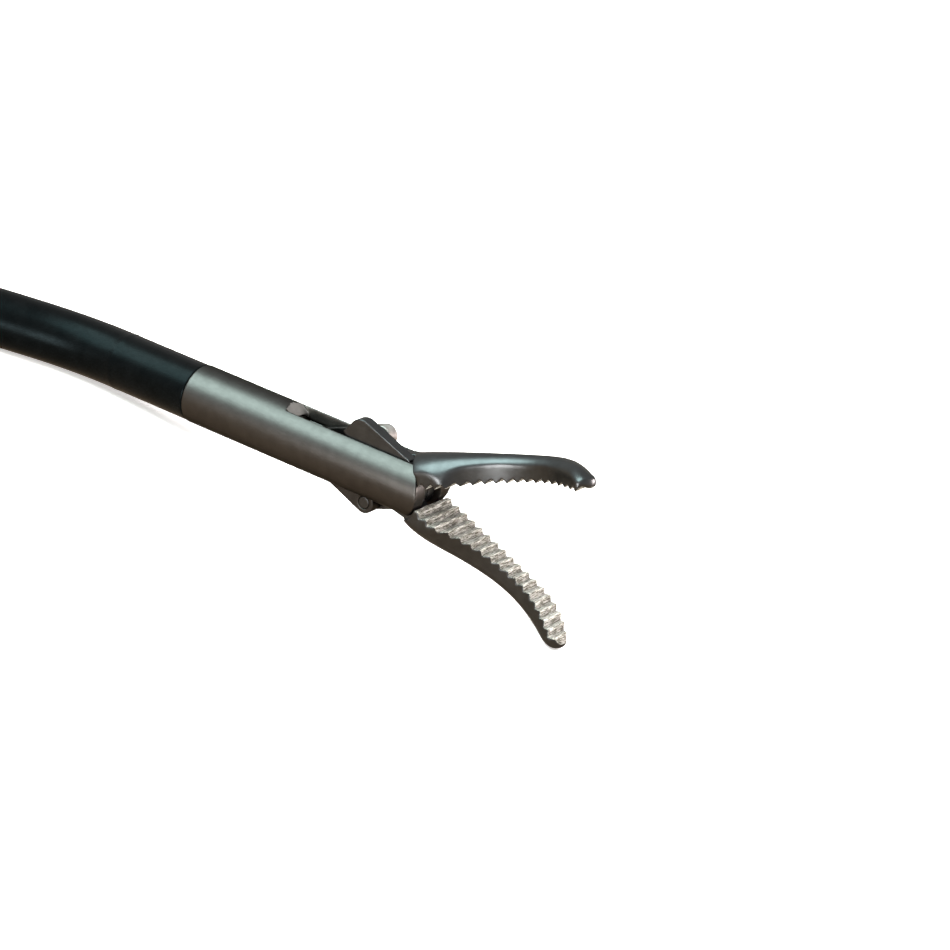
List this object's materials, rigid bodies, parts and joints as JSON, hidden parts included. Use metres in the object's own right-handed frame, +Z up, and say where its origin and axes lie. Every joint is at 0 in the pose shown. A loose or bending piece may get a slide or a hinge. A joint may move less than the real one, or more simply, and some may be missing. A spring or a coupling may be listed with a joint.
{
  "type": "endoscopic grasper",
  "caption": "Curved endoscopic grasper end: hooked toothed jaws on a slotted clevis, opened by links and a cable, on a bent shaft in a black sheath.",
  "frame": {"origin": "middle of the footprint, on the surface the grasper lies on", "axes": "+X towards the jaws, +Z up as it lies on its bent shaft and the lower jaw's nose"},
  "size_m": [0.1002, 0.028, 0.0148],
  "materials": {
    "clevis_steel": "satin",
    "jaw_steel": "satin",
    "link_steel": "machined",
    "tube_steel": "satin",
    "pin_steel": "turned",
    "cable_steel": "stranded",
    "sheath_black": "semi gloss",
    "liner_plastic": "smooth",
    "seal_rubber": "matt"
  },
  "bodies": {
    "shaft": {"clevis": "clevis_steel", "shaft_tube": "tube_steel", "near_lock_pin": "pin_steel", "far_lock_pin": "pin_steel", "cable_rear_bush": "liner_plastic", "insulating_sheath": "sheath_black", "pivot_pin": "clevis_steel", "cable_guide_bush": "liner_plastic", "cable_seal_ring": "seal_rubber"},
    "upper_jaw": {"upper_jaw": "jaw_steel", "upper_jaw_knee_pin": "pin_steel"},
    "lower_jaw": {"lower_jaw": "jaw_steel", "lower_jaw_knee_pin": "pin_steel"},
    "upper_link": {"upper_jaw_link": "link_steel"},
    "lower_link": {"lower_jaw_link": "link_steel"},
    "drive": {"drive_block": "pin_steel", "drive_pin": "pin_steel", "cable_ferrule": "pin_steel", "drive_cable": "cable_steel", "cable_end_sleeve": "pin_steel"}
  },
  "joints": [
    {"name": "upper_jaw_hinge", "type": "hinge", "parent": "shaft", "child": "upper_jaw", "pos_m": [0.03166, 0.01152, 0.00583], "axis": [-0.0055, 0.9985, 0.0551], "range_deg": [0, 20]},
    {"name": "lower_jaw_hinge", "type": "hinge", "parent": "shaft", "child": "lower_jaw", "pos_m": [0.03166, 0.01152, 0.00583], "axis": [-0.0055, 0.9985, 0.0551], "range_deg": [-20, 0]},
    {"name": "drive_slide", "type": "slide", "parent": "shaft", "child": "drive", "axis": [0.995, 0, 0.0994], "range_m": [-0.00115, 0]},
    {"name": "upper_link_hinge", "type": "hinge", "parent": "upper_jaw", "child": "upper_link", "pos_m": [0.02906, 0.01167, 0.00283], "axis": [-0.0055, 0.9985, 0.0551], "range_deg": [-29.18, 0]},
    {"name": "lower_link_hinge", "type": "hinge", "parent": "lower_jaw", "child": "lower_link", "pos_m": [0.02851, 0.01137, 0.00826], "axis": [-0.0055, 0.9985, 0.0551], "range_deg": [0, 29.18]}
  ],
  "couplings": [
    {"joint": "upper_jaw_hinge", "follows": "drive_slide", "rad_per_m": -302.39},
    {"joint": "lower_jaw_hinge", "follows": "drive_slide", "rad_per_m": 302.39},
    {"joint": "upper_link_hinge", "follows": "drive_slide", "rad_per_m": 441.01},
    {"joint": "lower_link_hinge", "follows": "drive_slide", "rad_per_m": -441.01}
  ]
}
